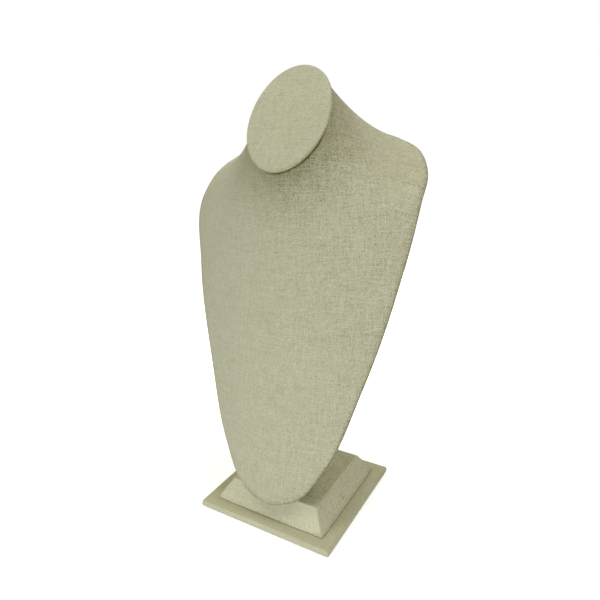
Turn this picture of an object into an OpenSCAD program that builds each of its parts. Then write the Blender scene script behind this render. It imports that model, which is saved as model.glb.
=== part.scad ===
// Necklace stand: a linen-covered bust on a stepped square foot.
// The origin is on the table, under the middle of the foot. The bust faces -Y.

/* [Foot] */
// Side of the square base, over its linen
base_w = 142; // [120:1:200]
// Thickness of the base, from the table to its top
base_h = 5.9; // [4.5:0.1:12]
// Rounding of the base's upper edges
base_edge_r = 2; // [0.5:0.1:2.2]
// Rounding of the base's corners, seen from above
base_corner_r = 1.5; // [1:0.1:8]
// Thickness of the felt under the base
felt_t = 0.5; // [0.3:0.1:2]
// Distance from the base's side to the felt
felt_margin = 4; // [2:0.5:12]
// Side of the block at its foot, over its linen
block_w = 119.5; // [100:0.5:125]
// Side of the block at its top
block_top_w = 93.5; // [70:0.5:100]
// Height of the block
block_h = 20.3; // [14:0.1:30]
// Rounding of the block's sloping corners
block_corner_r = 3; // [1:0.1:8]
// Rounding of the block's upper edges
block_edge_r = 1.2; // [0.4:0.1:2.5]

/* [Cloth] */
// Thickness of the linen
linen_t = 0.7; // [0.4:0.05:1.2]
// Width of the linen turned under the base and the block, and behind the neck cap
turn_under = 12; // [8:0.5:16]
// Width of the hem turned onto the back of the bust
rim_hem = 12; // [8:0.5:16]
// Distance from the bust's rim to the edge of the lining
lining_inset = 6; // [3:0.5:7.5]

/* [Bust] */
// Width over the shoulders
bust_w = 222.9; // [180:1:260]
// Rise from the lower tip to the widest place of the shoulders
bust_rise = 277.7; // [230:1:330]
// Depth from the lower tip to the back of the collar
bust_depth = 131; // [100:1:132]
// Wall of the moulded shell
shell_t = 3; // [2:0.1:4]
// Height of the lower tip above the top of the block, less than 0 for a tip that hangs in front of it
tip_gap = -2.9; // [-4:0.1:20]
// Distance of the lower tip in front of the middle of the foot
tip_front = 62.9; // [58:0.1:66]

/* [Neck] */
// Width of the oval cap on the neck
cap_w = 77.2; // [60:0.2:90]
// Length of the oval cap, along its slope
cap_l = 100; // [80:0.2:110]
// Thickness of the cap with its linen
cap_t = 3.4; // [3.3:0.1:10]
// Rounding of the cap's front edge
cap_edge_r = 2.6; // [1:0.1:3]
// How far the cap stands out over the neck all round
cap_overhang = 2; // [1:0.1:4]
// Angle that the cap leans back from upright
cap_lean = 31.25; // [20:0.25:45]
// Rise from the widest place of the shoulders to the middle of the cap
cap_rise = 67; // [55:0.5:90]
// Distance of the middle of the cap behind the lower tip
cap_back = 54.1; // [45:0.1:70]

/* [Support] */
// Width of the wooden post
post_w = 25; // [18:0.5:30]
// Depth of the post's foot
post_d = 30; // [24:0.5:40]
// Height above the block at which the post meets the bust
post_meet = 125; // [100:1:140]
// Height of the post above the block
post_h = 214; // [195:1:225]
// Clearance between the post's linen and the lining
post_gap = 0.3; // [0.2:0.05:0.9]
// Shank of every screw
screw_d = 4; // [3:0.1:4.5]
// Head of every screw
screw_head_d = 7.6; // [6:0.1:8.5]
// Height of the countersunk heads
screw_head_h = 2.2; // [1.8:0.1:2.4]
// Length of the screws up into the post
post_screw_l = 60; // [45:1:80]
// Distance between those two screws
post_screw_pitch = 14; // [10:0.5:16]
// Length of the screws up into the block
block_screw_l = 16; // [10:0.5:18]
// Distance of those four screws from the middle of the foot
block_screw_off = 36; // [28:0.5:38]
// Length of the screws through the bust
bust_screw_l = 16; // [12:0.5:18]
// Distance of the upper of those two screws below the top of the post
bust_screw_z = 22; // [14:1:30]
// Distance between them
bust_screw_pitch = 42; // [30:1:48]

/* [Hidden] */

linen_colour = "#b9b69a";
wood_colour = "#b08d62";
felt_colour = "#4a4a44";
shell_colour = "#d8d3c6";
steel_colour = "#9a9ca0";

// Faces round a screw, a quarter corner and an edge
screw_faces = 32;
corner_steps = 4;
edge_steps = 3;
// Clearance round a screw's shank, and how deep the bust's screw heads sit under the linen
screw_fit = 0.05;
head_sink = 0.35;
// Half the meridians round the bust, and the rings from neck to rim
half_round = 24;
rings = 12;
// Faces round the oval cap
cap_faces = 40;
// Least radius left where a rounded edge runs into a rounded corner
min_corner_r = 0.2;

base_top = base_h;
block_top = base_top + block_h;
board_bottom = felt_t + linen_t;
tip = [0, -tip_front, block_top + tip_gap];
bust_scale = [bust_w / 2, bust_depth, bust_rise];

// Outline of the rim for the right half. Each station has its share of the way round from the
// lower tip to the back of the collar, then its half width, its depth behind the tip and its
// height above the tip, as shares of the bust's half width, depth and rise.
rim_stations = [
    [0.00, [0, 0, 0]],
    [0.06, [0.25, 0.035, 0.029]],
    [0.16, [0.494, 0.12, 0.159]],
    [0.32, [0.735, 0.255, 0.438]],
    [0.52, [0.926, 0.4, 0.752]],
    [0.68, [1, 0.575, 0.995]],
    [0.75, [0.964, 0.775, 1.082]],
    [0.80, [0.831, 0.96, 1.138]],
    [0.89, [0.481, 1.015, 1.188]],
    [1.00, [0, 1, 1.198]],
];

// How far and which way the surface leaves the neck, and runs in from the rim, in the same shares
neck_handles = [
    [0.00, [0, 0.04, -0.203]],
    [0.20, [0.055, 0.04, -0.158]],
    [0.45, [0.125, 0.02, -0.074]],
    [0.65, [0.078, 0.09, -0.082]],
    [0.80, [0.059, 0.18, -0.079]],
    [1.00, [0, 0.125, -0.04]],
];
rim_handles = [
    [0.00, [0, 0.1, 0.366]],
    [0.20, [-0.155, 0.01, 0.287]],
    [0.45, [-0.376, -0.09, 0.124]],
    [0.65, [-0.358, -0.135, 0.073]],
    [0.80, [-0.275, -0.085, 0.012]],
    [1.00, [0, -0.03, 0.089]],
];

function unit(v) = v / norm(v);
function other_side(v) = [-v.x, v.y, v.z];
function scaled(v, s) = [v.x * s.x, v.y * s.y, v.z * s.z];

// A station of a list, where the list goes on as its own mirror image past either end
function station(list, i) =
    let (last = len(list) - 1)
    i < 0 ? [-list[-i][0], other_side(list[-i][1])]
    : i > last ? [2 - list[2 * last - i][0], other_side(list[2 * last - i][1])]
    : list[i];

// Slope of the curve through the stations at station i
function station_slope(list, i) =
    let (a = station(list, i - 1), b = station(list, i), c = station(list, i + 1))
    let (before = (b[1] - a[1]) / (b[0] - a[0]), after = (c[1] - b[1]) / (c[0] - b[0]))
    (after * (b[0] - a[0]) + before * (c[0] - b[0])) / (c[0] - a[0]);

// Point of the smooth curve through the stations, at share u of the way round
function along(list, u) =
    let (found = [for (k = [0 : len(list) - 2]) if (u <= list[k + 1][0]) k])
    let (i = found[0], a = list[i], b = list[i + 1], span = b[0] - a[0], x = (u - a[0]) / span)
    (2 * pow(x, 3) - 3 * pow(x, 2) + 1) * a[1] + (3 * pow(x, 2) - 2 * pow(x, 3)) * b[1]
    + span * ((pow(x, 3) - 2 * pow(x, 2) + x) * station_slope(list, i)
              + (pow(x, 3) - pow(x, 2)) * station_slope(list, i + 1));

// The cap's axes: out of its face, and up its slope
cap_out = [0, -cos(cap_lean), sin(cap_lean)];
cap_up = [0, sin(cap_lean), cos(cap_lean)];
cap_centre = tip + [0, cap_back, bust_rise + cap_rise];
neck_centre = cap_centre - cap_t * cap_out;
neck_half_w = cap_w / 2 - cap_overhang;
neck_half_l = cap_l / 2 - cap_overhang;

// Angle round the neck's oval end, from its lower front, that belongs to share u. It grows evenly by
// neck_turn degrees and by the rest of the half turn towards the back.
neck_turn = 133;
neck_turn_power = 6;
function neck_angle(u) = neck_turn * u + (180 - neck_turn) * pow(u, neck_turn_power);
function neck_point(u) =
    neck_centre + [neck_half_w * sin(neck_angle(u)), 0, 0]
    - neck_half_l * cos(neck_angle(u)) * cap_up;
function rim_point(u) = tip + scaled(along(rim_stations, u), bust_scale);

// The four control points of the meridian at share u, from the neck to the rim
function meridian(u) = [
    neck_point(u),
    neck_point(u) + scaled(along(neck_handles, u), bust_scale),
    rim_point(u) + scaled(along(rim_handles, u), bust_scale),
    rim_point(u),
];
function bezier(p, t) =
    pow(1 - t, 3) * p[0] + 3 * pow(1 - t, 2) * t * p[1] + 3 * (1 - t) * t * t * p[2] + pow(t, 3) * p[3];

// Rings lie evenly from the neck to the hem's edge, then at the lining's edge and at the place
// where the rounding of the rim begins
full_wall = shell_t + 2 * linen_t;
function ring_t(p, j) =
    let (reach = 3 * norm(p[3] - p[2]))
    let (hem_t = 1 - (rim_hem + full_wall / 2) / reach, lap_t = 1 - (lining_inset + full_wall / 2) / reach)
    j <= rings - 2 ? hem_t * j / (rings - 2) : j == rings - 1 ? lap_t : 1;

// Mirrored halves make the whole round: point k of ring j
round_count = 2 * half_round;
right_grid = [for (k = [0 : half_round]) let (p = meridian(k / half_round))
    [for (j = [0 : rings]) bezier(p, ring_t(p, j))]];
function grid_at(k, j) =
    let (m = (k + round_count) % round_count)
    m <= half_round ? right_grid[m][j] : other_side(right_grid[round_count - m][j]);

// Outward normals of the bust's surface
normal_grid = [for (k = [0 : round_count - 1]) [for (j = [0 : rings])
    unit(cross(grid_at(k, min(j + 1, rings)) - grid_at(k, max(j - 1, 0)),
               grid_at(k + 1, j) - grid_at(k - 1, j)))]];

// Way out past the rim, along the surface
rim_out = [for (k = [0 : round_count - 1])
    unit(cross(grid_at(k + 1, rings) - grid_at(k - 1, rings), normal_grid[k][rings]))];

// Point at depth d under the surface. At the neck's end it stays in the plane of the cut, and the
// last ring lies back from the rim by the radius of its rounding.
function under(k, j, d) =
    let (n = normal_grid[k][j], flat = n - (n * cap_out) * cap_out)
    j == 0 ? grid_at(k, 0) - d / (flat * flat) * flat
    : grid_at(k, j) - d * n - (j == rings ? full_wall / 2 : 0) * rim_out[k];

// Half-round edge of the wall that lies between depths a and b
function rim_arc(k, a, b) =
    let (r = (b - a) / 2, centre = under(k, rings, (a + b) / 2))
    [for (i = [1 : edge_steps]) let (q = 180 * i / (edge_steps + 1))
        centre + r * (cos(q) * normal_grid[k][rings] + sin(q) * rim_out[k])];

function reversed(list) = [for (i = [len(list) - 1 : -1 : 0]) list[i]];

// A four-sided face cut along its shorter diagonal, so that layers that touch are cut alike
function cut_face(points, a, b, c, d) =
    norm(points[a] - points[c]) <= norm(points[b] - points[d])
    ? [[a, c, b], [a, d, c]] : [[a, d, b], [b, d, c]];

// A wall swept round the bust: sections[k] is its closed section at meridian k
module swept(sections) {
    n = len(sections);
    m = len(sections[0]);
    points = [for (s = sections) each s];
    faces = [for (k = [0 : n - 1], i = [0 : m - 1])
        let (a = k * m + i, b = k * m + (i + 1) % m)
        let (c = ((k + 1) % n) * m + (i + 1) % m, d = ((k + 1) % n) * m + i)
        each cut_face(points, a, b, c, d)];
    polyhedron(points = points, faces = faces, convexity = 8);
}

// Closed shape through a chain of rings of equal count, from its first ring to its last
module chained(rings_list) {
    n = len(rings_list);
    m = len(rings_list[0]);
    points = [for (r = rings_list) each r];
    sides = [for (k = [0 : n - 2], i = [0 : m - 1])
        let (a = k * m + i, b = k * m + (i + 1) % m, c = (k + 1) * m + (i + 1) % m, d = (k + 1) * m + i)
        each [[a, c, b], [a, d, c]]];
    first = [for (i = [0 : m - 1]) i];
    last = [for (i = [m - 1 : -1 : 0]) (n - 1) * m + i];
    polyhedron(points = points, faces = concat([first], sides, [last]), convexity = 8);
}

// Ring of a square with rounded corners, at height z
function square_ring(half, r, z) =
    [for (q = [0 : 3], i = [0 : corner_steps])
        let (a = 90 * q + 90 * i / corner_steps, s = [cos(90 * q) - sin(90 * q), sin(90 * q) + cos(90 * q)])
        [(half - r) * s.x + r * cos(a), (half - r) * s.y + r * sin(a), z]];

// Rings over a rounded upper edge of radius r that ends at height z, for a square of this half side
function square_edge(half, corner, r, z) =
    [for (i = [0 : edge_steps]) let (a = 90 * i / edge_steps, in = r * (1 - cos(a)))
        square_ring(half - in, max(corner - in, min_corner_r), z - r * (1 - sin(a)))];

// A countersunk screw standing on its head at the origin, pointing up
module screw(length, fit = 0) {
    cylinder(h = length, d = screw_d + 2 * fit, $fn = screw_faces);
    cylinder(h = screw_head_h, d1 = screw_head_d + 2 * fit, d2 = screw_d + 2 * fit, $fn = screw_faces);
}

module base_outer() {
    chained(concat([square_ring(base_w / 2 - linen_t, base_corner_r, felt_t)],
                   [square_ring(base_w / 2, base_corner_r, felt_t + linen_t)],
                   square_edge(base_w / 2, base_corner_r, base_edge_r, base_top)));
}
module base_inner() {
    half = base_w / 2 - linen_t;
    corner = base_corner_r - linen_t;
    chained(concat([square_ring(half, corner, board_bottom)],
                   square_edge(half, corner, base_edge_r - linen_t, base_top - linen_t)));
}

// Places of the upright screws
module at_block_screws() {
    for (x = [-1, 1], y = [-1, 1])
        translate([x * block_screw_off, y * block_screw_off, board_bottom]) children();
}
module at_post_screws() {
    for (y = [-1, 1])
        translate([0, post_foot_y + y * post_screw_pitch / 2, board_bottom]) children();
}

module base_felt() {
    color(felt_colour) {
        half = base_w / 2 - felt_margin;
        linear_extrude(height = felt_t) square(2 * half, center = true);
        inner = base_w / 2 - turn_under;
        translate([0, 0, felt_t]) linear_extrude(height = linen_t) square(2 * inner, center = true);
    }
}

module base_board() {
    color(wood_colour)
    difference() {
        base_inner();
        at_block_screws() screw(block_screw_l, screw_fit);
        at_post_screws() screw(post_screw_l, screw_fit);
    }
}

module base_linen() {
    color(linen_colour)
    difference() {
        base_outer();
        base_inner();
        inner = base_w / 2 - turn_under;
        linear_extrude(height = board_bottom) square(2 * inner, center = true);
        at_block_screws() cylinder(h = base_h, d = screw_d + 2 * screw_fit, $fn = screw_faces);
        at_post_screws() cylinder(h = base_h, d = screw_d + 2 * screw_fit, $fn = screw_faces);
    }
}

// Outline of the block, thinner by t all over
module block_shape(t, bottom) {
    slope = (block_w - block_top_w) / 2 / block_h;
    side_t = t * sqrt(1 + slope * slope);
    half_at = function (z) block_w / 2 - side_t - slope * (z - base_top);
    top = block_top - t;
    corner = block_corner_r - t;
    chained(concat([square_ring(half_at(bottom), corner, bottom)],
                   square_edge(half_at(top - block_edge_r), corner, block_edge_r, top)));
}

module block_board() {
    color(wood_colour)
    difference() {
        block_shape(linen_t, base_top + linen_t);
        at_block_screws() screw(block_screw_l, screw_fit);
        at_post_screws() screw(post_screw_l, screw_fit);
    }
}

module block_linen() {
    color(linen_colour)
    difference() {
        block_shape(0, base_top);
        block_shape(linen_t, base_top + linen_t);
        inner = block_w / 2 - turn_under;
        translate([0, 0, base_top]) linear_extrude(height = linen_t) square(2 * inner, center = true);
        at_post_screws() screw(post_screw_l, screw_fit);
    }
}

module block_screws() {
    color(steel_colour) at_block_screws() screw(block_screw_l);
}

// Face of the lining behind the chest: its depth y at distance x from the middle and height z, found
// between the lines that the first meridians make in it
post_meridians = 5;
function lining_line(k, axis) =
    reversed([for (j = [0 : rings - 2]) let (p = under(k, j, full_wall)) [p.z, p[axis]]]);
lining_lines = [for (k = [0 : post_meridians]) [lining_line(k, 0), lining_line(k, 1)]];
function lining_y(x, z) =
    lookup(x, [for (line = lining_lines) [lookup(z, line[0]), lookup(z, line[1])]]);

// The post seen from the side. Its front is upright up to where it meets the bust. From there to its
// top it follows the lining, which its two front edges are nearest to.
function post_front(z) = lining_y(post_w / 2 + linen_t, z) + post_gap + linen_t;
post_front_y = post_front(block_top + post_meet);
post_foot_y = post_front_y + post_d / 2;
post_back_y = post_front_y + post_d;
post_top = block_top + post_h;
post_steps = 8;
post_top_slope = 6;

module post_side(grow) {
    front = [for (i = [0 : post_steps])
        let (z = block_top + post_meet + (post_h - post_meet) * i / post_steps)
        [post_front(z) - grow, z + (i == post_steps ? grow : 0)]];
    polygon(concat([[post_front_y - grow, block_top]], front,
                   [[post_back_y + grow, post_top - post_top_slope + grow],
                    [post_back_y + grow, block_top]]));
}
module post_solid(grow) {
    rotate([90, 0, 90]) translate([0, 0, -post_w / 2 - grow])
        linear_extrude(height = post_w + 2 * grow) post_side(grow);
}

// Lean of the chest at height z, over the width of a screw's head
function chest_lean(z) =
    atan((lining_y(0, z + screw_head_d / 2) - lining_y(0, z - screw_head_d / 2)) / screw_head_d);
module at_bust_screws() {
    head_in = full_wall - linen_t - head_sink;
    high_z = post_top - bust_screw_z;
    for (z = [high_z - bust_screw_pitch, high_z])
        translate([0, lining_y(0, z), z]) rotate([-90 - chest_lean(z), 0, 0]) translate([0, 0, -head_in])
            children();
}

module post_core() {
    color(wood_colour)
    difference() {
        post_solid(0);
        at_post_screws() screw(post_screw_l, screw_fit);
        at_bust_screws() screw(bust_screw_l, screw_fit);
    }
}

module post_linen() {
    color(linen_colour)
    difference() {
        post_solid(linen_t);
        post_solid(0);
        at_bust_screws() screw(bust_screw_l, screw_fit);
    }
}

module post_screws() {
    color(steel_colour) at_post_screws() screw(post_screw_l);
}

module bust_screws() {
    color(steel_colour) at_bust_screws() screw(bust_screw_l);
}

// Depths of the three layers of the bust, from the front of the linen
shell_front = linen_t;
shell_back = linen_t + shell_t;
hem_back = full_wall;
lining_back = full_wall + linen_t;

module bust_shell() {
    color(shell_colour)
    difference() {
        swept([for (k = [0 : round_count - 1]) concat(
            [for (j = [0 : rings]) under(k, j, shell_front)],
            rim_arc(k, shell_front, shell_back),
            [for (j = [rings : -1 : 0]) under(k, j, shell_back)])]);
        at_bust_screws() screw(bust_screw_l, screw_fit);
    }
}

module bust_linen() {
    color(linen_colour)
    swept([for (k = [0 : round_count - 1]) concat(
        [for (j = [0 : rings]) under(k, j, 0)],
        rim_arc(k, 0, hem_back),
        [for (j = [rings : -1 : rings - 2]) under(k, j, hem_back)],
        [for (j = [rings - 2 : rings]) under(k, j, shell_back)],
        reversed(rim_arc(k, shell_front, shell_back)),
        [for (j = [rings : -1 : 0]) under(k, j, shell_front)])]);
}

module bust_lining() {
    color(linen_colour)
    difference() {
        swept([for (k = [0 : round_count - 1]) concat(
            [for (j = [0 : rings - 2]) under(k, j, shell_back)],
            [for (j = [rings - 2, rings - 1]) under(k, j, hem_back)],
            [for (j = [rings - 1, rings - 2]) under(k, j, lining_back)],
            [for (j = [rings - 3 : -1 : 0]) under(k, j, hem_back)])]);
        at_bust_screws() screw(bust_screw_l, screw_fit);
    }
}

// Ring of the cap, smaller than its full outline by inset, at height z above the neck's cut
function cap_ring(inset, z) =
    [for (i = [0 : cap_faces - 1]) let (a = 360 * i / cap_faces)
        neck_centre + z * cap_out + (cap_w / 2 - inset) * sin(a) * [-1, 0, 0]
        + (cap_l / 2 - inset) * cos(a) * cap_up];
// Rings over the cap's rounded front edge
function cap_edge(inset, r, z) =
    [for (i = [0 : edge_steps + 1]) let (a = 90 * i / (edge_steps + 1))
        cap_ring(inset + r * (1 - cos(a)), z - r * (1 - sin(a)))];

module cap_inner() {
    chained(concat([cap_ring(linen_t, linen_t)],
                   cap_edge(linen_t, cap_edge_r - linen_t, cap_t - linen_t)));
}

module neck_board() {
    color(wood_colour) cap_inner();
}

module neck_linen() {
    color(linen_colour)
    difference() {
        chained(concat([cap_ring(linen_t, 0), cap_ring(0, linen_t)], cap_edge(0, cap_edge_r, cap_t)));
        cap_inner();
        chained([cap_ring(turn_under, -linen_t), cap_ring(turn_under, 2 * linen_t)]);
    }
}

base_felt();
base_board();
base_linen();
block_board();
block_linen();
block_screws();
post_core();
post_linen();
post_screws();
bust_screws();
bust_shell();
bust_linen();
bust_lining();
neck_board();
neck_linen();
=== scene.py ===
# A linen-covered necklace stand: bust, oval neck cap and stepped square foot.
# Everything is in metres, in the frame of the solids, with the bust facing -Y.
import math

import bpy
import numpy as np
from mathutils import Matrix, Vector


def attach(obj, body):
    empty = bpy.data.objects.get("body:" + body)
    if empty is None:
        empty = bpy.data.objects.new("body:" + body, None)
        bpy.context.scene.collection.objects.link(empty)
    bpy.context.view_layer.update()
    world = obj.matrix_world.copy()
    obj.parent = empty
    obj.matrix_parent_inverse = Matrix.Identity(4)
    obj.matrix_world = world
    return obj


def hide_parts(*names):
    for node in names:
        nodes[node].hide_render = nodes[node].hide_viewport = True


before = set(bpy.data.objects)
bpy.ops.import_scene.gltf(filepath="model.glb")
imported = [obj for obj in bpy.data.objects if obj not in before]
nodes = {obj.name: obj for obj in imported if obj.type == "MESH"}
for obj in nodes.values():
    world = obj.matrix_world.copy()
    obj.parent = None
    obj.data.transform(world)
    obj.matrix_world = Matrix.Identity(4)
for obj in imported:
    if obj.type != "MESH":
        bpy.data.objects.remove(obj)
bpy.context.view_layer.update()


# Boards of the foot and of the neck cap: the square base, the sloping block and the oval are cut from
# fibreboard 4, 19 and 2 mm thick. Linen covers them all over, so only their makers see them.
def add_node(tree, kind, inputs=(), **settings):
    """Adds a shader node. inputs maps its sockets, by name or number, to values or to outputs."""
    made = tree.nodes.new("ShaderNode" + kind)
    for key, value in settings.items():
        setattr(made, key, value)
    for key, value in dict(inputs).items():
        if isinstance(value, bpy.types.NodeSocket):
            tree.links.new(value, made.inputs[key])
        else:
            made.inputs[key].default_value = value
    return made


def calc(tree, operation, *values):
    """Output of one Math node on values or outputs."""
    return add_node(tree, "Math", enumerate(values), operation=operation).outputs[0]


def new_finish(name, roughness, specular=0.5):
    """A material, its node tree and its shader."""
    finish = bpy.data.materials.new(name)
    finish.use_nodes = True
    shader = finish.node_tree.nodes["Principled BSDF"]
    shader.inputs["Roughness"].default_value = roughness
    shader.inputs["Specular IOR Level"].default_value = specular
    return finish, finish.node_tree, shader


def colour_ramp(tree, factor, stops):
    """Output of a colour ramp with these (place, linear colour) stops."""
    ramp = add_node(tree, "ValToRGB", {0: factor})
    marks = ramp.color_ramp.elements
    while len(marks) < len(stops):
        marks.new(0.5)
    for mark, (place, colour) in zip(marks, stops):
        mark.position = place
        mark.color = (*colour, 1)
    return ramp.outputs[0]


def place_in_object(tree, stretch=(1, 1, 1)):
    """Object coordinates, stretched."""
    where = add_node(tree, "TexCoord").outputs["Object"]
    return add_node(tree, "Mapping", {"Vector": where, "Scale": stretch}).outputs[0]


def raise_surface(tree, shader, height, distance, strength=1.0):
    """Bumps the shader's surface by height, times distance in metres."""
    bump = add_node(tree, "Bump", {"Strength": strength, "Distance": distance, "Height": height})
    tree.links.new(bump.outputs[0], shader.inputs["Normal"])


def fibreboard_finish():
    finish, tree, shader = new_finish("fibreboard", 0.75)
    chips = add_node(tree, "TexNoise", {"Vector": place_in_object(tree, (1, 1, 4)), "Scale": 700.0,
                                        "Detail": 4.0})
    tree.links.new(colour_ramp(tree, chips.outputs[0], [
        (0.3, (0.26, 0.16, 0.085)), (0.55, (0.38, 0.26, 0.15)), (0.8, (0.5, 0.37, 0.23))]),
        shader.inputs["Base Color"])
    raise_surface(tree, shader, chips.outputs[0], 0.0002)
    return finish


def refinish(name, finish):
    """Gives a CAD node another material."""
    for held in nodes[name].material_slots:
        held.material = finish


fibreboard = fibreboard_finish()
for board in ("base_board", "block_board", "neck_board"):
    refinish(board, fibreboard)


# Linen over the base: one square of cloth, glued over the top, folded at its four corners and turned
# 12 mm under the board.
BASE_HALF = 0.071
BASE_TOP = 0.0059
BASE_CLOTH = 0.177
FELT_T = 0.0005
LINEN_T = 0.0007
LINEN_ROLL = 0.3 * LINEN_T
BASE_EDGE_R = 0.002
BASE_EDGE_STEPS = 6
BASE_CORNER_R = 0.0015
LEAST_CORNER_R = 0.0005
TURN_UNDER = 0.012
TURNED_CORNER_R = 0.001

# Distance from thread to thread of the linen, and of its finer part on the base and the block
THREAD = 0.00105
FINE_THREAD = 0.0009

# How finely the threads wander
DRIFT_SCALE = 160.0
# Slubs to each spacing along a thread: each is many spacings long. The next thread takes its own from
# the last of these farther off in the noise.
WARP_SLUBS = 0.065
WEFT_SLUBS = 0.055
NEXT_SLUBS = 3.17
# Lumps and fibres to each spacing
LUMPS = 1.9
FIBRES = 2.9
# How round a thread is, how deep it dips under the next, and where in the draw of crossings husk begins
ROUNDNESS = 0.6
WAVE = 0.42
HUSKS_FROM = 0.991


def map_range(tree, value, start, end, at_start, at_end, **settings):
    """Output of a Map Range node: at_start up to start, at_end from end on, and even between."""
    return add_node(tree, "MapRange", {0: value, 1: start, 2: end, 3: at_start, 4: at_end},
                    **settings).outputs[0]


def mix_colour(tree, share, colour, other, **settings):
    """Output of a colour mixed with a share of the other."""
    return add_node(tree, "MixRGB", {0: share, 1: colour, 2: other}, **settings).outputs[0]


def weave_group():
    """Shader group of a plain weave: threads over and under, uneven, with dark flecks of husk. Its tone
    is partly painted shade in the hollows between the threads.
    """
    group = bpy.data.node_groups.new("plain_weave", "ShaderNodeTree")
    face = group.interface
    face.new_socket("Cloth", in_out="INPUT", socket_type="NodeSocketVector")
    for name, value in (("Thread", THREAD), ("Wander", 0.5), ("Unevenness", 1.0), ("Lumps", 0.3)):
        face.new_socket(name, in_out="INPUT", socket_type="NodeSocketFloat").default_value = value
    for name in ("Height", "Tone", "Fleck"):
        face.new_socket(name, in_out="OUTPUT", socket_type="NodeSocketFloat")
    given = group.nodes.new("NodeGroupInput").outputs
    gives = group.nodes.new("NodeGroupOutput").inputs

    def noise(vector, scale, detail=2.0, roughness=0.5):
        return add_node(group, "TexNoise", {"Vector": vector, "Scale": scale, "Detail": detail,
                                            "Roughness": roughness})

    def vector(x, y, z=0.0):
        return add_node(group, "CombineXYZ", {0: x, 1: y, 2: z}).outputs[0]

    # Threads wander by a part of their spacing
    drift = noise(given["Cloth"], DRIFT_SCALE).outputs["Color"]
    drift = add_node(group, "VectorMath", {0: drift, 1: (0.5, 0.5, 0.5)}, operation="SUBTRACT").outputs[0]
    reach = calc(group, "MULTIPLY", given["Thread"], calc(group, "MULTIPLY", given["Wander"], 2.0))
    drift = add_node(group, "VectorMath", {0: drift, "Scale": reach}, operation="SCALE").outputs[0]
    moved = add_node(group, "VectorMath", {0: given["Cloth"], 1: drift}, operation="ADD").outputs[0]
    counted = add_node(group, "VectorMath", {0: moved, "Scale": calc(group, "DIVIDE", 1.0, given["Thread"])},
                       operation="SCALE").outputs[0]
    split = add_node(group, "SeparateXYZ", {0: counted}).outputs
    across, along = split[0], split[1]
    warp_no, weft_no = calc(group, "FLOOR", across), calc(group, "FLOOR", along)
    parity = calc(group, "FLOORED_MODULO", calc(group, "ADD", warp_no, weft_no), 2.0)
    side = calc(group, "SUBTRACT", 1.0, calc(group, "MULTIPLY", parity, 2.0))
    warp_round = calc(group, "SINE", calc(group, "MULTIPLY", calc(group, "FRACT", across), math.pi))
    weft_round = calc(group, "SINE", calc(group, "MULTIPLY", calc(group, "FRACT", along), math.pi))

    # Slubs make each thread thick and thin along its length. A lump is the shade of one short bit of it,
    # about half as long as the thread is wide, and each whole thread has a shade too
    def slub_noise(x, y, z):
        return noise(vector(x, y, z), 1.0, 3.0, 0.7).outputs[0]

    def thread_shade(number, set_no):
        return add_node(group, "TexWhiteNoise", {"Vector": vector(number, set_no)},
                        noise_dimensions="2D").outputs[0]

    warp_slub = slub_noise(calc(group, "MULTIPLY", warp_no, NEXT_SLUBS),
                           calc(group, "MULTIPLY", along, WARP_SLUBS), 0.0)
    weft_slub = slub_noise(calc(group, "MULTIPLY", across, WEFT_SLUBS),
                           calc(group, "MULTIPLY", weft_no, NEXT_SLUBS), 7.0)
    lump = add_node(group, "TexWhiteNoise", {"Vector": vector(
        calc(group, "FLOOR", calc(group, "MULTIPLY", across, LUMPS)),
        calc(group, "FLOOR", calc(group, "MULTIPLY", along, LUMPS)))}, noise_dimensions="2D").outputs[0]
    fibres = noise(vector(calc(group, "MULTIPLY", across, FIBRES), calc(group, "MULTIPLY", along, FIBRES)),
                   1.0, 1.0).outputs[0]

    def thread_height(rounding, other, turn, slub):
        body = calc(group, "POWER", calc(group, "MAXIMUM", rounding, 0.0001), ROUNDNESS)
        wave = calc(group, "MULTIPLY_ADD", calc(group, "MULTIPLY", turn, other), WAVE, 0.5)
        thick = calc(group, "MULTIPLY_ADD", slub, calc(group, "MULTIPLY", given["Unevenness"], 0.6), 0.7)
        return calc(group, "MULTIPLY", calc(group, "MULTIPLY", body, wave), thick)

    warp = thread_height(warp_round, weft_round, side, warp_slub)
    weft = thread_height(weft_round, warp_round, calc(group, "MULTIPLY", side, -1.0), weft_slub)
    over = calc(group, "GREATER_THAN", warp, weft)
    height = calc(group, "MAXIMUM", warp, weft)
    group.links.new(calc(group, "MULTIPLY_ADD", fibres, 0.2, height), gives["Height"])

    def centred(value, weight):
        return calc(group, "MULTIPLY", calc(group, "SUBTRACT", value, 0.5), weight)

    slub = add_node(group, "Mix", {0: over, 2: weft_slub, 3: warp_slub}, data_type="FLOAT").outputs[0]
    whole = add_node(group, "Mix", {0: over, 2: thread_shade(weft_no, 3.0), 3: thread_shade(warp_no, 1.0)},
                     data_type="FLOAT").outputs[0]
    # The tone is the threads' own unevenness, with painted shade in the hollows from their height
    tone = calc(group, "MULTIPLY_ADD", centred(slub, given["Unevenness"]), 0.7, 0.5)
    for value, weight in ((height, 0.5), (lump, given["Lumps"]), (fibres, 0.3), (whole, 0.06)):
        tone = calc(group, "ADD", tone, centred(value, weight))
    group.links.new(tone, gives["Tone"])

    husk = add_node(group, "TexWhiteNoise", {"Vector": vector(warp_no, weft_no, 5.0)},
                    noise_dimensions="3D").outputs[0]
    group.links.new(calc(group, "GREATER_THAN", husk, HUSKS_FROM), gives["Fleck"])
    return group


# A crease's painted shade is darkest up to this far from its line, and ends this far from it
CREASE_CORE = 0.0003
CREASE_END = 0.0009


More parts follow.
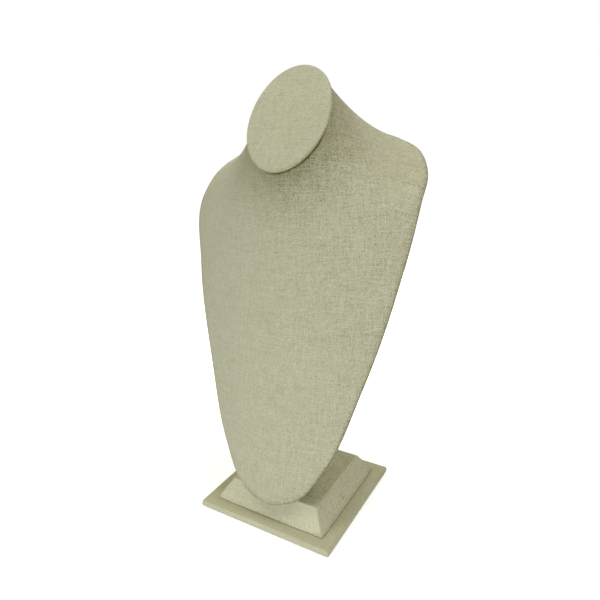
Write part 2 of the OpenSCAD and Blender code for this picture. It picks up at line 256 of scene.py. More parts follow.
def painted_crease_shade(tree, place, start, end, depth):
    """How dark the painted shade of a short crease from start to end is at this place. depth is its shade on
    the line.
    """
    line = Vector(end) - Vector(start)
    from_start = add_node(tree, "VectorMath", {0: place, 1: start}, operation="SUBTRACT").outputs[0]
    share = add_node(tree, "VectorMath", {0: from_start, 1: line / line.length_squared},
                     operation="DOT_PRODUCT").outputs["Value"]
    share = add_node(tree, "Math", {0: share, 1: 0.0}, operation="ADD", use_clamp=True).outputs[0]
    nearest = add_node(tree, "VectorMath", {0: line, "Scale": share}, operation="SCALE").outputs[0]
    off = add_node(tree, "VectorMath", {0: from_start, 1: nearest}, operation="DISTANCE").outputs["Value"]
    return map_range(tree, off, CREASE_CORE, CREASE_END, depth, 0.0)


# Threads from the darkest hollow to the lightest crown, the hollows in painted shade: place on the ramp
# of tones, and colour
THREAD_COLOURS = ((0.1, (0.175, 0.16, 0.09)), (0.42, (0.38, 0.372, 0.26)), (0.7, (0.505, 0.5, 0.38)),
                  (1.0, (0.65, 0.645, 0.53)))
MIDDLE_TONE = 0.52
PATCH_SHARE = 0.04
PATCH_COLOUR = (0.3, 0.29, 0.17, 1)
FLECK_SHARE = 0.4
FLECK_COLOUR = (0.15, 0.13, 0.065, 1)
# Painted shade multiplies the colour by this
SHADE_COLOUR = (0.3, 0.286, 0.06, 1)
WEAVE_RELIEF = 0.00045

# Across the stand the threads show plainer from the first of these places to the second, which paints the
# light that grazes the weave on the right. In the painted shade they show plainer still, by up to this
# boldness, from the first of the other two to the second.
PLAINER = (-0.09, 0.08)
SHADED_PLAINER = (-0.03, 0.01)
SHADED_BOLDNESS = 2.6


def linen_finish(name, weave, tint, boldness, thread=THREAD, creases=()):
    """Natural linen, greenish beige, with the weave on the piece's own cloth map. It is darker and more
    yellow where the piece's shade attribute and its creases say so, which is painted shade: under the neck
    cap and in its joint, round the bust's rim and the cap's edge, in the groove at the foot and over the
    block's top. boldness is how plain its threads show at the left of the stand and at the right."""
    finish, tree, shader = new_finish(name, 0.88, 0.25)
    shader.inputs["Sheen Weight"].default_value = 0.06
    shader.inputs["Sheen Roughness"].default_value = 0.6
    cloth = add_node(tree, "UVMap", uv_map="cloth").outputs[0]
    threads = tree.nodes.new("ShaderNodeGroup")
    threads.node_tree = weave
    tree.links.new(cloth, threads.inputs["Cloth"])
    threads.inputs["Thread"].default_value = thread
    place = place_in_object(tree)
    sideways = add_node(tree, "SeparateXYZ", {"Vector": place}).outputs["X"]
    shade = add_node(tree, "Attribute", attribute_name="shade").outputs["Fac"]
    bold = map_range(tree, sideways, *PLAINER, *boldness)
    bold_in_shade = map_range(tree, sideways, *SHADED_PLAINER, 0.0, SHADED_BOLDNESS)
    bold = calc(tree, "MULTIPLY_ADD", shade, bold_in_shade, bold)
    for start, end, depth in creases:
        shade = calc(tree, "ADD", shade, painted_crease_shade(tree, place, start, end, depth))
    tone = calc(tree, "SUBTRACT", threads.outputs["Tone"], MIDDLE_TONE)
    tone = calc(tree, "MULTIPLY_ADD", tone, bold, MIDDLE_TONE)
    colour = colour_ramp(tree, tone, [(mark, tuple(share * c for share, c in zip(tint, rgb)))
                                      for mark, rgb in THREAD_COLOURS])
    patches = add_node(tree, "TexNoise", {"Vector": cloth, "Scale": 28.0, "Detail": 3.0}).outputs[0]
    patches = map_range(tree, patches, 0.3, 0.7, 0.0, PATCH_SHARE)
    colour = mix_colour(tree, patches, colour, PATCH_COLOUR)
    flecks = calc(tree, "MULTIPLY", threads.outputs["Fleck"], FLECK_SHARE)
    colour = mix_colour(tree, flecks, colour, FLECK_COLOUR)
    # Painted shade: the colour darkened and made yellower where the shade attribute and the creases say
    shaded = mix_colour(tree, 1.0, colour, SHADE_COLOUR, blend_type="MULTIPLY")
    tree.links.new(mix_colour(tree, shade, colour, shaded), shader.inputs["Base Color"])
    raise_surface(tree, shader, threads.outputs["Height"], WEAVE_RELIEF, strength=0.7)
    return finish


def take_alone(piece):
    """Selects this piece and no other, and makes it the active one."""
    bpy.ops.object.select_all(action="DESELECT")
    piece.select_set(True)
    bpy.context.view_layer.objects.active = piece


def edit_all():
    """Goes into edit mode with all of the active piece selected."""
    bpy.ops.object.mode_set(mode="EDIT")
    bpy.ops.mesh.select_all(action="SELECT")


def leave_edit():
    """Goes back to object mode."""
    bpy.ops.object.mode_set(mode="OBJECT")


def name_piece(name):
    """Names the new primitive."""
    piece = bpy.context.object
    piece.name = name
    piece.data.name = name
    return piece


def new_cloth_map(mesh):
    """An empty UV map for the cloth, in place of the maps that the mesh has."""
    for layer in list(mesh.uv_layers):
        mesh.uv_layers.remove(layer)
    return mesh.uv_layers.new(name="cloth")


def set_cloth_map(piece, places):
    """Writes the cloth's own coordinates, one pair for each vertex, as the UV map."""
    mesh = piece.data
    corners = np.empty(len(mesh.loops), dtype=np.int32)
    mesh.loops.foreach_get("vertex_index", corners)
    new_cloth_map(mesh).data.foreach_set("uv", np.asarray(places, dtype=np.float32)[corners].ravel())


def set_shade(piece, values):
    """Writes how far the cloth is darkened by painted shade at each vertex."""
    layer = piece.data.attributes.new("shade", "FLOAT", "POINT")
    layer.data.foreach_set("value", np.asarray(values, dtype=np.float32).ravel())


def thicken(piece):
    """Gives the sheet the thickness of the linen, under its outer face."""
    wall = piece.modifiers.new("thickness", "SOLIDIFY")
    wall.thickness = LINEN_T
    wall.offset = -1
    bpy.context.view_layer.objects.active = piece
    bpy.ops.object.modifier_apply(modifier=wall.name)


def stretched_cover(name, rings, spread_at, shrinks, shades, axes=None):
    """A cover stretched over a board. rings run from the edge that is turned under, round the side and
    up to the face, each with as many points. shrinks are the rings on the face, as shares of the last.
    shades has one value of painted shade for each ring, and axes, where given, turns and places the whole
    cover.
    The cloth map lies flat on the face and runs on down the side, outwards the way of spread_at."""
    count = len(rings[0])
    flat = [rings[-1][:, :2]]
    for upper, lower in zip(rings[::-1], rings[-2::-1]):
        flat.append(flat[-1] + np.linalg.norm(lower - upper, axis=1)[:, None] * spread_at)
    flat = flat[::-1]
    for share in shrinks:
        ring = rings[-1].copy()
        ring[:, :2] *= share
        rings = rings + [ring]
        flat.append(ring[:, :2])
    bpy.ops.object.select_all(action="DESELECT")
    bpy.ops.mesh.primitive_circle_add(vertices=count, radius=1.0, fill_type="NOTHING")
    piece = name_piece(name)
    edit_all()
    for _ in rings[1:]:
        bpy.ops.mesh.extrude_edges_move()
    bpy.ops.mesh.edge_face_add()
    leave_edit()
    mesh = piece.data
    mesh.vertices.foreach_set("co", np.concatenate(rings).ravel())
    set_cloth_map(piece, np.concatenate(flat))
    set_shade(piece, np.repeat(shades, count))
    edit_all()
    bpy.ops.mesh.normals_make_consistent(inside=False)
    leave_edit()
    if axes is not None:
        mesh.transform(axes)
    return piece


def square_ring(half, corner, z, side_steps=10, corner_steps=5):
    """Points round a square with rounded corners, and the way out from it at each."""
    points, out = [], []
    for quarter in range(4):
        turn = math.pi / 2 * quarter
        sx, sy = ((1, 1), (-1, 1), (-1, -1), (1, -1))[quarter]
        centre = np.array([(half - corner) * sx, (half - corner) * sy])
        for i in range(corner_steps + 1):
            a = turn + math.pi / 2 * i / corner_steps
            way = np.array([math.cos(a), math.sin(a)])
            points.append([*(centre + corner * way), z])
            out.append(way)
        way = np.array([math.cos(turn + math.pi / 2), math.sin(turn + math.pi / 2)])
        start = centre + corner * way
        run = np.array([-way[1], way[0]]) * 2 * (half - corner)
        for i in range(1, side_steps):
            points.append([*(start + run * i / side_steps), z])
            out.append(way)
    return np.array(points), np.array(out)


def finish_cloth(piece, node, finish, **sheet):
    """Puts the linen on a cover, which stands for its CAD node."""
    piece.data.materials.clear()
    piece.data.materials.append(finish)
    take_alone(piece)
    bpy.ops.object.shade_smooth_by_angle(angle=math.radians(40))
    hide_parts(node)
    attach(piece, "root")


def cut_area(piece):
    """Area of one side of the sheet."""
    return sum(face.area for face in piece.data.polygons)


plain_weave = weave_group()
# The linens differ in tint: those of the foot are lighter than the bust's, partly as their own finer cloth
# and partly as painted light, and the base's is yellower, partly as painted shade
linen = linen_finish("natural_linen", plain_weave, (0.82, 0.82, 0.815), (0.55, 1.1))
# Painted shade of a faint crease by the block's corner: start, end and shade of its two strokes
BASE_CREASES = [((0.0612, -0.0548, BASE_TOP), (0.0646, -0.0572, BASE_TOP), 0.12),
                ((0.0646, -0.0572, BASE_TOP), (0.0658, -0.0592, BASE_TOP), 0.12)]
base_linen = linen_finish("base_linen_cloth", plain_weave, (0.975, 0.97, 0.925), (0.55, 0.55), FINE_THREAD,
                          BASE_CREASES)

base_rings = [square_ring(BASE_HALF - TURN_UNDER, TURNED_CORNER_R, FELT_T),
              square_ring(BASE_HALF - LINEN_T, BASE_CORNER_R, FELT_T),
              square_ring(BASE_HALF - LINEN_ROLL, BASE_CORNER_R, FELT_T + LINEN_ROLL),
              square_ring(BASE_HALF, BASE_CORNER_R, FELT_T + LINEN_T)]
for step in range(BASE_EDGE_STEPS + 1):
    angle = math.pi / 2 * step / BASE_EDGE_STEPS
    inwards = BASE_EDGE_R * (1 - math.cos(angle))
    base_rings.append(square_ring(BASE_HALF - inwards, max(BASE_CORNER_R - inwards, LEAST_CORNER_R),
                                  BASE_TOP - BASE_EDGE_R * (1 - math.sin(angle))))
# Rings on the face, closest at the foot of the block, where the linen has the most painted shade
face_half = BASE_HALF - BASE_EDGE_R
face_rings = (0.0680, 0.0640, 0.0622, 0.0611, 0.0597, 0.0560, 0.0300, 0.0060)
# Painted shade of each ring: a little under the turned edge and up the side, and most in the groove at the
# foot of the block, where shade falls
base_shades = ([0.25, 0.2, 0.1, 0.0] + [0.01 * step for step in range(BASE_EDGE_STEPS + 1)]
               + [0.02, 0.03, 0.05, 0.35, 0.9, 0.4, 0.15, 0.15])
base_cover = stretched_cover("base_cover", [points for points, _ in base_rings], base_rings[0][1],
                             [half / face_half for half in face_rings], base_shades)
base_area = cut_area(base_cover)
thicken(base_cover)
finish_cloth(base_cover, "base_linen", base_linen, flat=(BASE_CLOTH, BASE_CLOTH), held="folded",
             rests_on=["base_board"], area=min(base_area, BASE_CLOTH ** 2))


# Linen over the block: cut and folded like the base's, drawn down its four sloping sides and turned
# 12 mm under it. Its lower edge rolls in, which leaves a shaded groove round the foot, darkened more by
# painted shade.
BLOCK_HALF = 0.05975
BLOCK_TOP_HALF = 0.04675
BLOCK_TOP = 0.0262
BLOCK_CLOTH = 0.166
BLOCK_EDGE_R = 0.0012
BLOCK_EDGE_STEPS = 5
BLOCK_SIDE_RINGS = 6
BLOCK_CORNER_R = 0.0017
GROOVE = 0.0009
# How the lower edge rolls: inwards and up, as shares of the groove, and where the straight side begins
BLOCK_ROLL = ((1.4, 0.0), (0.5, 0.4))
SIDE_FROM = 1.2
# Rings on the face of the block and of the cap, as shares of its outline
FACE_SHRINKS = (0.96, 0.8, 0.6, 0.4, 0.2)

slope = (BLOCK_HALF - BLOCK_TOP_HALF) / (BLOCK_TOP - BASE_TOP)
block_rings = [square_ring(BLOCK_HALF - TURN_UNDER, TURNED_CORNER_R, BASE_TOP)]
for inwards, up in BLOCK_ROLL:
    block_rings.append(square_ring(BLOCK_HALF - inwards * GROOVE, BLOCK_CORNER_R, BASE_TOP + up * GROOVE))
for z in np.linspace(BASE_TOP + SIDE_FROM * GROOVE, BLOCK_TOP - BLOCK_EDGE_R, BLOCK_SIDE_RINGS):
    block_rings.append(square_ring(BLOCK_HALF - slope * (z - BASE_TOP), BLOCK_CORNER_R, z))
for step in range(1, BLOCK_EDGE_STEPS + 1):
    angle = math.pi / 2 * step / BLOCK_EDGE_STEPS
    inwards = BLOCK_EDGE_R * (1 - math.cos(angle))
    half = BLOCK_HALF - slope * (BLOCK_TOP - BLOCK_EDGE_R - BASE_TOP) - inwards
    block_rings.append(square_ring(half, BLOCK_CORNER_R - inwards,
                                   BLOCK_TOP - BLOCK_EDGE_R * (1 - math.sin(angle))))
# Painted shade of each ring: dark where the lower edge rolls into the groove, none up the sides and round
# the top edge, and the painted shadow of the bust over the top
block_shades = [0.8, 0.9, 0.9, 0.15] + [0.0] * 10 + [0.36, 0.36, 0.3, 0.3, 0.3]

# Painted shade of small creases on the right side, one bent and one short: start, end and shade of each
# stroke
BLOCK_CREASES = [((0.0524, -0.0088, 0.0174), (0.0553, -0.0082, 0.0129), 0.38),
                 ((0.0553, -0.0082, 0.0129), (0.0552, -0.006, 0.013), 0.38),
                 ((0.0466, -0.0421, 0.026), (0.0494, -0.0409, 0.0221), 0.32)]
# Its tint is lighter than the bust's, partly as painted light on the block's front
block_linen = linen_finish("block_linen_cloth", plain_weave, (1.085, 1.085, 1.09), (0.8, 0.8), FINE_THREAD,
                           BLOCK_CREASES)
block_cover = stretched_cover("block_cover", [points for points, _ in block_rings], block_rings[0][1],
                              FACE_SHRINKS, block_shades)
# Painted shadow of the bust over the top, apart from a band along its front edge, and a little painted shade
# on the right side, which makes it yellower
TOP_FROM = BLOCK_TOP - 0.00001
LIGHT_FRONT = 0.009
RIGHT_SIDE_SHADE = 0.06
for vertex, shade in zip(block_cover.data.vertices, block_cover.data.attributes["shade"].data):
    if vertex.co.z > TOP_FROM:
        shade.value *= min(max((vertex.co.y + BLOCK_TOP_HALF) / LIGHT_FRONT, 0.0), 1.0)
    elif vertex.co.x > abs(vertex.co.y):
        shade.value += RIGHT_SIDE_SHADE
block_area = cut_area(block_cover)
thicken(block_cover)
finish_cloth(block_cover, "block_linen", block_linen, flat=(BLOCK_CLOTH, BLOCK_CLOTH), held="folded",
             rests_on=["block_board"], area=min(block_area, BLOCK_CLOTH ** 2))


# Screws: zinc-plated countersunk steel, four up into the block, two up into the post and two through
# the bust. They are all hidden, under the felt and under the bust's linen.
def zinc_finish():
    finish, tree, shader = new_finish("zinc_plate", 0.35)
    shader.inputs["Metallic"].default_value = 1.0
    turned = add_node(tree, "TexNoise", {"Vector": place_in_object(tree, (1, 1, 6)), "Scale": 900.0,
                                         "Detail": 3.0})
    tree.links.new(colour_ramp(tree, turned.outputs[0], [
        (0.3, (0.48, 0.48, 0.46)), (0.7, (0.68, 0.68, 0.65))]), shader.inputs["Base Color"])
    tree.links.new(map_range(tree, turned.outputs[0], 0.0, 1.0, 0.25, 0.5), shader.inputs["Roughness"])
    raise_surface(tree, shader, turned.outputs[0], 0.00005)
    return finish


zinc = zinc_finish()
for screws in ("block_screws", "post_screws", "bust_screws"):
    refinish(screws, zinc)


# Post behind the bust: a pine batten screwed up from below, in a sleeve of the same linen that is
# glued on round it and over its top.
SLEEVE_CLOTH = (0.12, 0.235)
SLEEVE_EDGE_R = 0.0006
# Points this close together are one
SAME_POINT = 1e-6


def pine_finish():
    finish, tree, shader = new_finish("pine", 0.6)
    rings_of_growth = add_node(tree, "TexNoise", {"Vector": place_in_object(tree, (1, 0.6, 0.06)),
                                                  "Scale": 260.0, "Detail": 5.0, "Distortion": 0.4})
    tree.links.new(colour_ramp(tree, rings_of_growth.outputs[0], [
        (0.35, (0.4, 0.23, 0.1)), (0.5, (0.58, 0.39, 0.2)), (0.65, (0.7, 0.52, 0.3))]),
        shader.inputs["Base Color"])
    raise_surface(tree, shader, rings_of_growth.outputs[0], 0.0003)
    return finish


refinish("post_core", pine_finish())


def copy_of_node(name, node):
    """A merged copy of a CAD node's mesh, as a new piece."""
    piece = bpy.data.objects.new(name, nodes[node].data.copy())
    bpy.context.scene.collection.objects.link(piece)
    take_alone(piece)
    edit_all()
    bpy.ops.mesh.remove_doubles(threshold=SAME_POINT)
    bpy.ops.mesh.dissolve_limited(angle_limit=math.radians(1))
    leave_edit()
    return piece


def map_by_sides(piece):
    """Cloth map of a sleeve: across and up on each side, by the way its faces look."""
    mesh = piece.data
    layer = new_cloth_map(mesh)
    for face in mesh.polygons:
        x, y, z = (abs(c) for c in face.normal)
        for corner in face.loop_indices:
            at = mesh.vertices[mesh.loops[corner].vertex_index].co
            if z > max(x, y):
                layer.data[corner].uv = (at.x, at.y)
            elif x > y:
                layer.data[corner].uv = (at.y, at.z)
            else:
                layer.data[corner].uv = (at.x, at.z)


post_sleeve = copy_of_node("post_sleeve", "post_linen")
soften = post_sleeve.modifiers.new("soft_edges", "BEVEL")
soften.width = SLEEVE_EDGE_R
soften.segments = 3
soften.limit_method = "ANGLE"
soften.angle_limit = math.radians(50)
bpy.ops.object.modifier_apply(modifier=soften.name)
map_by_sides(post_sleeve)
finish_cloth(post_sleeve, "post_linen", linen, flat=SLEEVE_CLOTH, held="stretched",
             rests_on=["post_core"])


# Felt pad under the foot: a square of short dark felt, glued on last, over the turned edges of the
# linen and the heads of the screws.
def felt_finish():
    finish, tree, shader = new_finish("short_felt", 0.95, 0.1)
    shader.inputs["Sheen Weight"].default_value = 0.3
    matted = add_node(tree, "TexNoise", {"Vector": place_in_object(tree), "Scale": 1400.0, "Detail": 5.0,
                                         "Roughness": 0.7, "Distortion": 1.0})
    tree.links.new(colour_ramp(tree, matted.outputs[0], [
        (0.3, (0.03, 0.03, 0.026)), (0.75, (0.1, 0.1, 0.085))]), shader.inputs["Base Color"])
    raise_surface(tree, shader, matted.outputs[0], 0.0004)
    return finish


refinish("base_felt", felt_finish())


# Shell of the bust: chest, rolled-back shoulders and neck, moulded in one piece 3 mm thick and open
# behind. Linen and lining cover it.
def shell_finish():
    finish, tree, shader = new_finish("moulded_shell", 0.5)
    cloudy = add_node(tree, "TexNoise", {"Vector": place_in_object(tree), "Scale": 60.0, "Detail": 4.0})
    tree.links.new(colour_ramp(tree, cloudy.outputs[0], [
        (0.3, (0.58, 0.54, 0.46)), (0.7, (0.72, 0.68, 0.6))]), shader.inputs["Base Color"])
    raise_surface(tree, shader, cloudy.outputs[0], 0.0004)
    return finish


refinish("bust_shell", shell_finish())


# Linen over the bust: one piece of cloth drawn from the neck's end over chest and shoulders, round
# the rim and onto the back as a 12 mm hem, with its join behind the neck.
BUST_RISE = 0.2777
BUST_SCALE = np.array([0.11145, 0.131, BUST_RISE])
TIP = np.array([0.0, -0.0629, 0.0233])
WALL = 0.0044
HEM = 0.012
ROUND = 240
ROWS_TO_HEM = 58
ROWS_OF_HEM = 6
ROW_CROWDING = 1.3
# Degrees of turn from the front that the meridians share out evenly on the neck, and the power by
# which the last of the turn gathers at the back
NECK_TURN = 133
NECK_TURN_POWER = 6
CAP_BACK = 0.0541
CAP_RISE = 0.067
CAP_LEAN = math.radians(31.25)
CAP_T = 0.0034
CAP_HALF_W = 0.0386
CAP_HALF_L = 0.05
CAP_OVERHANG = 0.002
CAP_OUT = np.array([0.0, -math.cos(CAP_LEAN), math.sin(CAP_LEAN)])
CAP_UP = np.array([0.0, math.sin(CAP_LEAN), math.cos(CAP_LEAN)])
NECK_CENTRE = TIP + np.array([0.0, CAP_BACK, BUST_RISE + CAP_RISE]) - CAP_T * CAP_OUT

# Outline of the rim from the lower tip to the back of the collar, and the way the cloth leaves the
# neck and comes to the rim: share of the way round, then half width, depth and height as shares.
RIM = [(0, (0, 0, 0)), (0.06, (0.25, 0.035, 0.029)), (0.16, (0.494, 0.12, 0.159)),
       (0.32, (0.735, 0.255, 0.438)), (0.52, (0.926, 0.4, 0.752)), (0.68, (1, 0.575, 0.995)),
       (0.75, (0.964, 0.775, 1.082)), (0.8, (0.831, 0.96, 1.138)), (0.89, (0.481, 1.015, 1.188)),
       (1, (0, 1, 1.198))]
FROM_NECK = [(0, (0, 0.04, -0.203)), (0.2, (0.055, 0.04, -0.158)), (0.45, (0.125, 0.02, -0.074)),
             (0.65, (0.078, 0.09, -0.082)), (0.8, (0.059, 0.18, -0.079)), (1, (0, 0.125, -0.04))]
TO_RIM = [(0, (0, 0.1, 0.366)), (0.2, (-0.155, 0.01, 0.287)), (0.45, (-0.376, -0.09, 0.124)),
          (0.65, (-0.358, -0.135, 0.073)), (0.8, (-0.275, -0.085, 0.012)), (1, (0, -0.03, 0.089))]
MIRROR = np.array([-1, 1, 1])


def smooth_line(stations, shares):
    """The smooth curve through the stations, which goes on as its own mirror image past each end."""
    at = np.array([s for s, _ in stations], float)
    value = np.array([v for _, v in stations], float)
    at = np.concatenate([[-at[1]], at, [2 - at[-2]]])
    value = np.concatenate([[value[1] * MIRROR], value, [value[-2] * MIRROR]])
    step = np.diff(at)[:, None]
    rise = np.diff(value, axis=0) / step
    slopes = (rise[1:] * step[:-1] + rise[:-1] * step[1:]) / (step[1:] + step[:-1])
    at, value = at[1:-1], value[1:-1]
    i = np.clip(np.searchsorted(at, shares, "left") - 1, 0, len(at) - 2)
    span = (at[i + 1] - at[i])[:, None]
    x = (shares[:, None] - at[i][:, None]) / span
    return ((2 * x ** 3 - 3 * x ** 2 + 1) * value[i] + (3 * x ** 2 - 2 * x ** 3) * value[i + 1]
            + span * ((x ** 3 - 2 * x ** 2 + x) * slopes[i] + (x ** 3 - x ** 2) * slopes[i + 1]))


def bust_lines(count):
    """Four control points of each meridian, from the back of the collar round by the left to the back."""
    shares = np.linspace(-1, 1, count + 1)
    side = np.where(shares < 0, -1.0, 1.0)[:, None]
    shares = np.abs(shares)
    angle = np.radians(NECK_TURN * shares + (180 - NECK_TURN) * shares ** NECK_TURN_POWER)
    neck = (NECK_CENTRE + (CAP_HALF_W - CAP_OVERHANG) * np.sin(angle)[:, None] * [1, 0, 0]
            - (CAP_HALF_L - CAP_OVERHANG) * np.cos(angle)[:, None] * CAP_UP)
    rim = TIP + smooth_line(RIM, shares) * BUST_SCALE
    points = np.stack([neck, neck + smooth_line(FROM_NECK, shares) * BUST_SCALE,
                       rim + smooth_line(TO_RIM, shares) * BUST_SCALE, rim])
    points[:, :, 0] *= side[:, 0]
    return points


def around(grid):
    """Differences along the meridians' round, which closes behind the neck."""
    wrapped = np.concatenate([grid[-2:-1], grid, grid[1:2]])
    return wrapped[2:] - wrapped[:-2]


def unit(v):
    """Vectors of length one that point the same ways."""
    return v / np.linalg.norm(v, axis=-1, keepdims=True)


control = bust_lines(ROUND)
reach = 3 * np.linalg.norm(control[3] - control[2], axis=1)
hem_t = 1 - (HEM + WALL / 2) / reach
row_t = hem_t[:, None] * np.linspace(0, 1, ROWS_TO_HEM + 1) ** ROW_CROWDING
edge_t = np.linspace(0, 1, ROWS_OF_HEM + 1)[1:]
row_t = np.concatenate([row_t, hem_t[:, None] + (1 - WALL / 2 / reach - hem_t)[:, None] * edge_t], axis=1)
t = row_t[:, :, None]
c0, c1, c2, c3 = (c[:, None, :] for c in control)
bust_face = (1 - t) ** 3 * c0 + 3 * (1 - t) ** 2 * t * c1 + 3 * (1 - t) * t ** 2 * c2 + t ** 3 * c3
along_rows = np.gradient(bust_face, axis=1)
bust_normal = unit(np.cross(along_rows, around(bust_face)))
rim_out = unit(np.cross(around(control[3]), bust_normal[:, -1]))


def bust_under(row, depth):
    """Points of one row at this depth under the linen's face. In the neck's cut they stay in its plane."""
    normal = bust_normal[:, row]
    if row == 0:
        normal = normal - (normal @ CAP_OUT)[:, None] * CAP_OUT
        normal = normal / (normal ** 2).sum(1)[:, None]
    return bust_face[:, row] - depth * normal


# Rows of the cover: the face, half a turn round the rim, and the hem, which has small pleats where it
# is turned in on a curve. Each pleat has this form over four meridians, and this share on each row. It
# is full where the rim bends as much as at this percentile of its bend.
RIM_ROWS = 11
PLEAT = 0.0004
PLEAT_BEND = 80
PLEAT_FORM = (0.0, 0.3, 1.0, 0.5)
PLEAT_SHARES = (0.6, 1.0, 0.0, 0.0, 0.0)
rim_centre = control[3] - WALL / 2 * rim_out - WALL / 2 * bust_normal[:, -1]
last = bust_face.shape[1] - 1
cover_rows = [bust_face[:, row] for row in range(last)]
for turn in np.linspace(0, math.pi, RIM_ROWS):
    way = math.cos(turn) * bust_normal[:, -1] + math.sin(turn) * rim_out
    cover_rows.append(rim_centre + WALL / 2 * way)
rim_way = unit(around(control[3]))
bend = np.linalg.norm(around(rim_way), axis=1)
bend = np.clip(bend / np.percentile(bend, PLEAT_BEND), 0, 1)
pleats = np.array(PLEAT_FORM)[np.arange(ROUND + 1) % len(PLEAT_FORM)] * bend
for step, share in enumerate(PLEAT_SHARES, 1):
    cover_rows.append(bust_under(last - step, (WALL + PLEAT * share * pleats)[:, None]))
cover_grid = np.stack(cover_rows, axis=1)


def springs(grid):
    """Edges of the grid, across its cells too, and their lengths."""
    index = np.arange(grid.shape[0] * grid.shape[1]).reshape(grid.shape[:2])
    pairs = [(index[:-1], index[1:]), (index[:, :-1], index[:, 1:]), (index[:-1, :-1], index[1:, 1:]),
             (index[1:, :-1], index[:-1, 1:])]
    a = np.concatenate([p.ravel() for p, _ in pairs])
    b = np.concatenate([q.ravel() for _, q in pairs])
    flat = grid.reshape(-1, 3)
    return a, b, np.linalg.norm(flat[a] - flat[b], axis=1)


# Each round moves a point this many times its springs' mean pull. The coarse grid takes every so many
# meridians and rows and is eased for so many rounds, and the finer ones follow.
PULL = 1.6
EASING = ((12, 6, 4000), (4, 3, 800), (1, 1, 150))
# The cloth's threads are upright in front between this row and the hem
UPRIGHT_FROM = 10


def ease_flat(grid, flat, rounds):
    """Moves the flat points until the springs have about their lengths on the bust."""
    a, b, length = springs(grid)
    places = flat.reshape(-1, 2).copy()
    count = np.bincount(a, minlength=len(places)) + np.bincount(b, minlength=len(places))
    for _ in range(rounds):
        gap = places[b] - places[a]
        now = np.linalg.norm(gap, axis=1)
        pull = gap * (0.5 * (1 - length / np.maximum(now, 1e-9)))[:, None]
        move = np.stack([np.bincount(a, pull[:, i], len(places)) - np.bincount(b, pull[:, i], len(places))
                         for i in (0, 1)], axis=1)
        places += PULL * move / count[:, None]
    return places.reshape(flat.shape)


def flatten_cloth(grid):
    """Cloth map of the grid as if its cloth were cut behind the neck and laid flat, threads upright in
    front. It is eased on a coarse grid first and then on finer ones."""
    level = np.linalg.norm(np.diff(grid[:, :, :2], axis=0), axis=2)
    middle = ROUND // 2
    across = np.concatenate([np.zeros((1, grid.shape[1])), np.cumsum(level, axis=0)])
    across -= across[middle]
    down = np.concatenate([np.zeros(1), np.cumsum(np.linalg.norm(np.diff(grid[middle], axis=0), axis=1))])
    up = grid[:, :, 2].copy()
    past = last + RIM_ROWS // 2
    up[:, past:] = up[:, past:past + 1] - (down[past:] - down[past])
    flat = np.stack([across, up], axis=2)
    for stride_round, stride_row, rounds in EASING:
        cols = np.arange(0, grid.shape[0], stride_round)
        rows = np.unique(np.append(np.arange(0, grid.shape[1], stride_row), grid.shape[1] - 1))
        eased = ease_flat(grid[np.ix_(cols, rows)], flat[np.ix_(cols, rows)], rounds)
        wide = np.stack([[np.interp(np.arange(grid.shape[1]), rows, line) for line in eased[:, :, i]]
                         for i in (0, 1)], axis=2)
        flat = np.stack([np.stack([np.interp(np.arange(grid.shape[0]), cols, wide[:, r, i])
                                   for r in range(grid.shape[1])], axis=1) for i in (0, 1)], axis=2)
    turn = flat[middle, UPRIGHT_FROM] - flat[middle, ROWS_TO_HEM]
    turn = turn / np.linalg.norm(turn)
    turn_back = np.array([[turn[1], turn[0]], [-turn[0], turn[1]]])
    return (flat - flat[middle, ROWS_TO_HEM]) @ turn_back


def cloth_from_grid(name, grid, flat, shade):
    """A sheet with these points, this cloth map and this painted shade, closed behind the neck."""
    cols, rows = grid.shape[0] - 1, grid.shape[1] - 1
    bpy.ops.object.select_all(action="DESELECT")
    bpy.ops.mesh.primitive_grid_add(x_subdivisions=cols, y_subdivisions=rows, size=1.0)
    piece = name_piece(name)
    mesh = piece.data
    start = np.empty(len(mesh.vertices) * 3)
    mesh.vertices.foreach_get("co", start)
    start = start.reshape(-1, 3)
    col = np.rint((start[:, 0] + 0.5) * cols).astype(int)
    row = np.rint((start[:, 1] + 0.5) * rows).astype(int)
    mesh.vertices.foreach_set("co", grid[col, row].ravel())
    set_cloth_map(piece, flat[col, row])
    set_shade(piece, shade[col, row])
    edit_all()
    bpy.ops.mesh.remove_doubles(threshold=SAME_POINT)
    leave_edit()
    return piece


def face_away(piece, point, way):
    """Turns the sheet over if its face nearest to the point doesn't look this way."""
    near = min(piece.data.polygons, key=lambda face: (face.center - Vector(point)).length)
    if near.normal.dot(Vector(way)) < 0:
        bpy.context.view_layer.objects.active = piece
        edit_all()
        bpy.ops.mesh.flip_normals()
        leave_edit()


def flat_size(flat):
    """Width and height of the cloth, laid flat."""
    return tuple(float(size) for size in np.ptp(flat.reshape(-1, 2), axis=0))


# Painted shade on the linen: the neck cap's shadow under it, darkest in the joint under the cap's
# overhang, and a dark line where the linen turns round the rim away from the light, with a little before
# it. The painted shadow in the joint is darkest on the right, from a little left of the middle on.
CAP_SHADE = 0.5
CAP_SHADE_REACH = 0.055
CAP_SHADE_POWER = 1.5
JOINT_SHADOW_END = 0.0017
JOINT_SHADOW_SOFTNESS = 0.0004
JOINT_SHADOW_LEAST = 0.2
JOINT_SHADOW_FROM = -0.02
JOINT_SHADOW_GROWS_OVER = 0.03
BEFORE_RIM_SHADES = (0.03, 0.1)
RIM_SHADES = (0.22, 0.36, 0.54, 0.66, 0.72, 0.74, 0.7, 0.62, 0.5, 0.3, 0.15)
around_cap = np.linspace(0, 2 * math.pi, 180, endpoint=False)
cap_edge = (NECK_CENTRE + CAP_HALF_W * np.cos(around_cap)[:, None] * [1, 0, 0]
            + CAP_HALF_L * np.sin(around_cap)[:, None] * CAP_UP)
